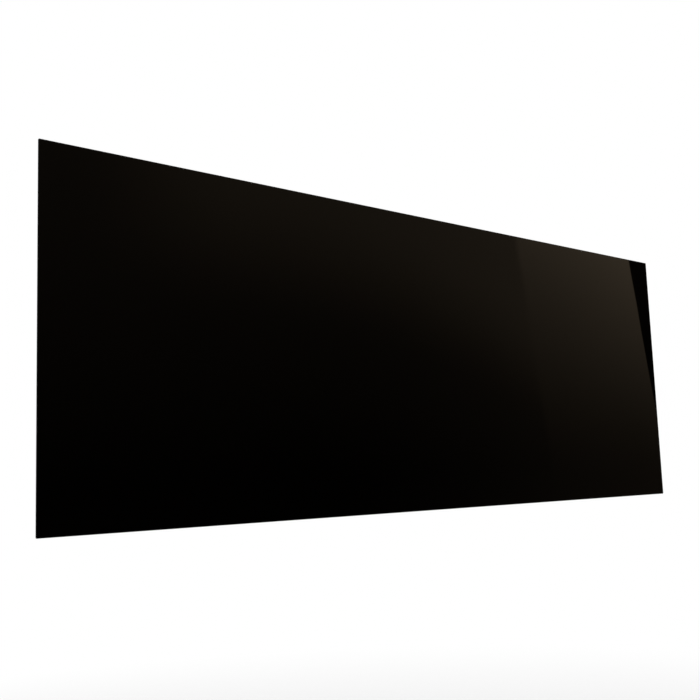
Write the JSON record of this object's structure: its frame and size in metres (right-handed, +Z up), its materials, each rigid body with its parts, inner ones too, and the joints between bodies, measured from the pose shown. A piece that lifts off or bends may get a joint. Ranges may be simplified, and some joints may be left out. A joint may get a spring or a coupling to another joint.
{
  "type": "infrared panel heater",
  "caption": "Frameless black glass-ceramic radiant panel heater with a louvred rear housing, a terminal box and a tilting wall bracket.",
  "frame": {"origin": "centre of the wall bracket's back face, level with the tilt axis", "axes": "+X to the viewer's right along the panel, +Y into the wall, +Z up; the glass faces -Y"},
  "size_m": [0.838, 0.1348, 0.305],
  "materials": {
    "front_glass": "glossy black glass-ceramic, ground edge",
    "silicone": "matt high-temperature silicone",
    "black_powder": "fine-textured black powder coat on steel",
    "reflector_sheet": "bright rolled",
    "element_sheath": "oxidised nickel alloy",
    "ceramic": "unglazed",
    "fibre_board": "matt fibre",
    "steel": "stainless",
    "brass": "machined",
    "rubber": "matt",
    "lead_red": "silicone insulation",
    "lead_grey": "silicone insulation",
    "lead_green": "silicone insulation",
    "polyamide": "moulded black"
  },
  "bodies": {
    "wall": {"wall_bracket": "black_powder"},
    "heater": {"glass_panel": "front_glass", "glass_bond": "silicone", "carrier_frame": "black_powder", "rear_housing": "black_powder", "reflector": "reflector_sheet", "reflector_end_left": "reflector_sheet", "reflector_end_right": "reflector_sheet", "element_upper": "element_sheath", "element_lower": "element_sheath", "element_flange_upper": "steel", "element_flange_lower": "steel", "terminal_bead_1": "ceramic", "terminal_bead_2": "ceramic", "terminal_bead_3": "ceramic", "terminal_bead_4": "ceramic", "element_support_upper_right": "steel", "element_support_upper_left": "steel", "element_support_lower_right": "steel", "element_support_lower_left": "steel", "insulation_board": "fibre_board", "thermal_cutout": "ceramic", "lead_live": "lead_red", "lead_switched": "lead_red", "lead_neutral": "lead_grey", "series_link": "lead_red", "lead_earth": "lead_green", "lead_grommet": "rubber", "terminal_box": "black_powder", "box_gasket": "rubber", "box_cover": "black_powder", "cover_screw_1": "steel", "cover_screw_2": "steel", "cover_screw_3": "steel", "cover_screw_4": "steel", "terminal_block": "ceramic", "earth_stud": "brass", "earth_nut": "brass", "gland_body": "polyamide", "gland_locknut": "polyamide", "gland_seal": "rubber", "gland_nut": "polyamide", "yoke": "black_powder", "yoke_screw_1": "steel", "yoke_screw_2": "steel", "yoke_screw_3": "steel", "yoke_screw_4": "steel", "pivot_bolt_right": "steel", "pivot_washer_right": "steel", "pivot_nut_right": "steel", "lock_bolt_right": "steel", "lock_nut_right": "steel", "friction_washer_right": "polyamide", "pivot_bolt_left": "steel", "pivot_washer_left": "steel", "pivot_nut_left": "steel", "lock_bolt_left": "steel", "lock_nut_left": "steel", "friction_washer_left": "polyamide"}
  },
  "joints": [
    {"name": "tilt", "type": "hinge", "parent": "wall", "child": "heater", "pos_m": [0, -0.062, 0], "axis": [1, 0, 0], "range_deg": [0, 40]}
  ]
}
